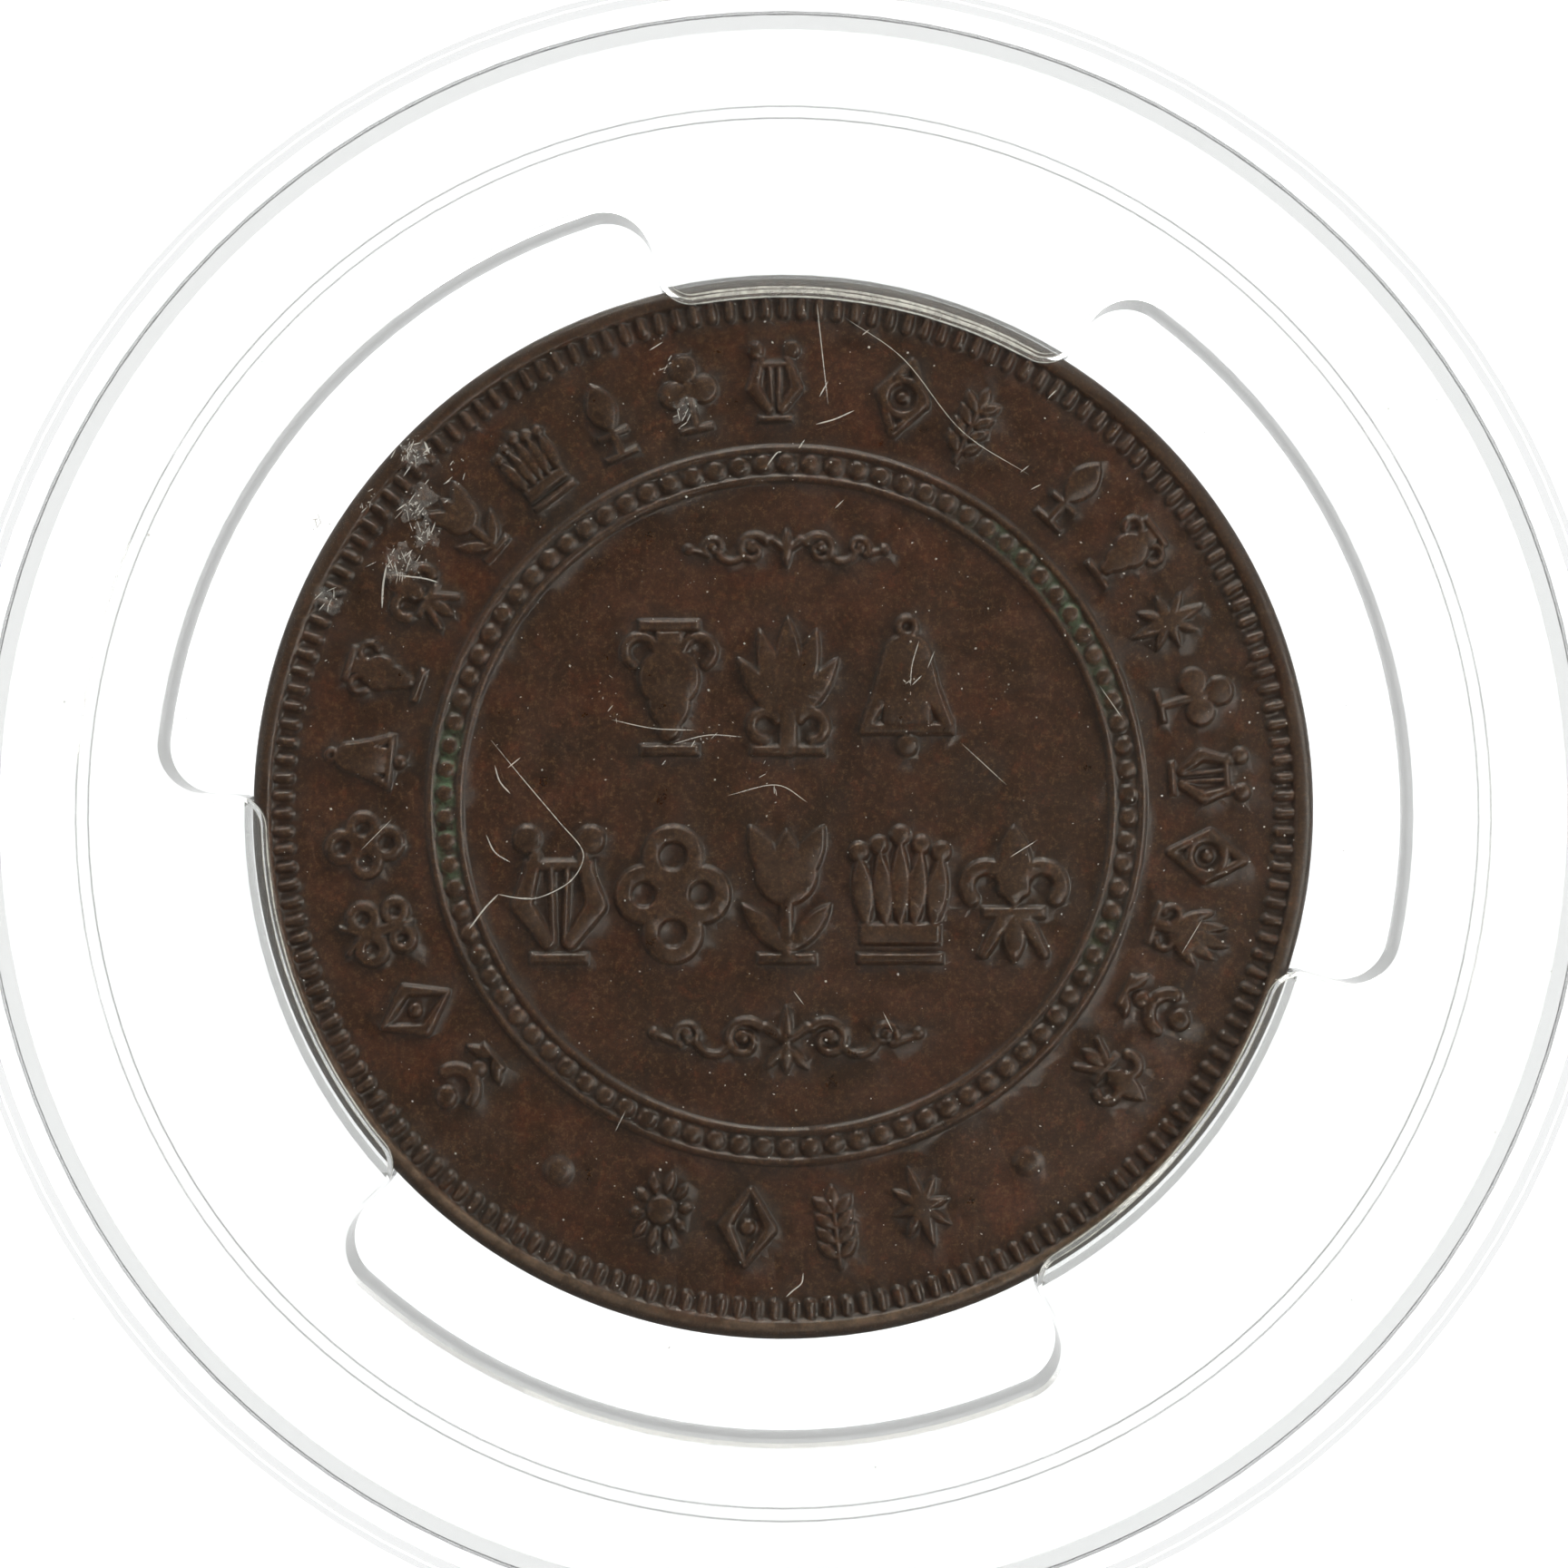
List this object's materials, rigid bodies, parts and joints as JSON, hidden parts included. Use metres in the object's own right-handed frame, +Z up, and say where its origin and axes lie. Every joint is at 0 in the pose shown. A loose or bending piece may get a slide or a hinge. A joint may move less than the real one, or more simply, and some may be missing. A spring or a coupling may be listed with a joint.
{
  "type": "graded coin slab",
  "caption": "Sealed clear slab that displays a bronze coin, gripped at its edge by the prongs of a clear ring, with a label card and foil seal in a pocket above.",
  "frame": {"origin": "middle of the bottom edge that the slab stands on", "axes": "+Z up towards the label card, -Y out of the front window, +X to the right as the front window is read"},
  "size_m": [0.063, 0.008, 0.086],
  "materials": {
    "clear_shell": "clear, polished, with hairline scratches",
    "clear_ring": "clear, soft satin",
    "old_bronze": "dark brown patina, worn lighter on the raised parts",
    "printed_card": "smooth printed card",
    "seal_foil": "iridescent embossed foil"
  },
  "bodies": {
    "holder": {"front_shell": "clear_shell", "rear_shell": "clear_shell", "label_card": "printed_card", "hologram_seal": "seal_foil"},
    "ring": {"prong_ring": "clear_ring"},
    "coin": {"coin": "old_bronze"}
  },
  "joints": [
    {"name": "ring_turn", "type": "hinge", "parent": "holder", "child": "ring", "pos_m": [0, 0.00035, 0.034], "axis": [0, -1, 0], "continuous": true},
    {"name": "coin_turn", "type": "hinge", "parent": "ring", "child": "coin", "pos_m": [0, 0.00035, 0.03413], "axis": [0, -1, 0], "continuous": true}
  ]
}
